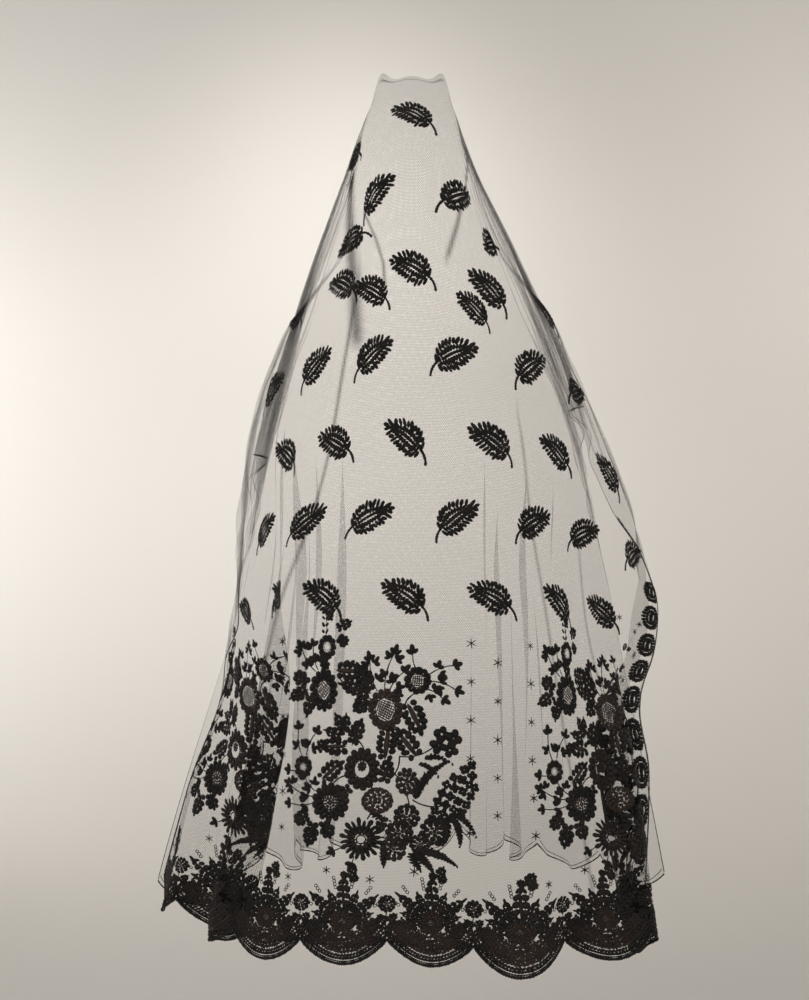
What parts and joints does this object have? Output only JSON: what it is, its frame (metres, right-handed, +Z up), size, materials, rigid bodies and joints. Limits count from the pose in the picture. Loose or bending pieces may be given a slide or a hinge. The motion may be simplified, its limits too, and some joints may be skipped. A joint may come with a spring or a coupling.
{
  "type": "lace veil",
  "caption": "Long oblong net lace veil worn over the head, falling before the face and down the back, with sprigs, bouquets and a scalloped hem.",
  "frame": {"origin": "top of the head that holds the veil, under the middle of the crown ridge", "axes": "+Z up, the face looks to -Y, +X to the right in a view of the front"},
  "size_m": [0.7969, 0.5703, 1.2568],
  "materials": {
    "net": "matt machine net, black",
    "thread": "matt cotton embroidery thread, black"
  },
  "bodies": {
    "root": {"crown_net": "net", "face_net": "net", "front_centre_net": "net", "front_left_pleat_net": "net", "front_right_pleat_net": "net", "front_left_wing_net": "net", "front_right_wing_net": "net", "nape_net": "net", "back_left_net": "net", "back_centre_net": "net", "back_right_net": "net", "border_front_left": "thread", "border_front_right": "thread", "border_back_left": "thread", "border_back_right": "thread", "hem_front_left": "thread", "hem_front_centre": "thread", "hem_front_right": "thread", "hem_back_left": "thread", "hem_back_centre": "thread", "hem_back_right": "thread"}
  },
  "joints": []
}
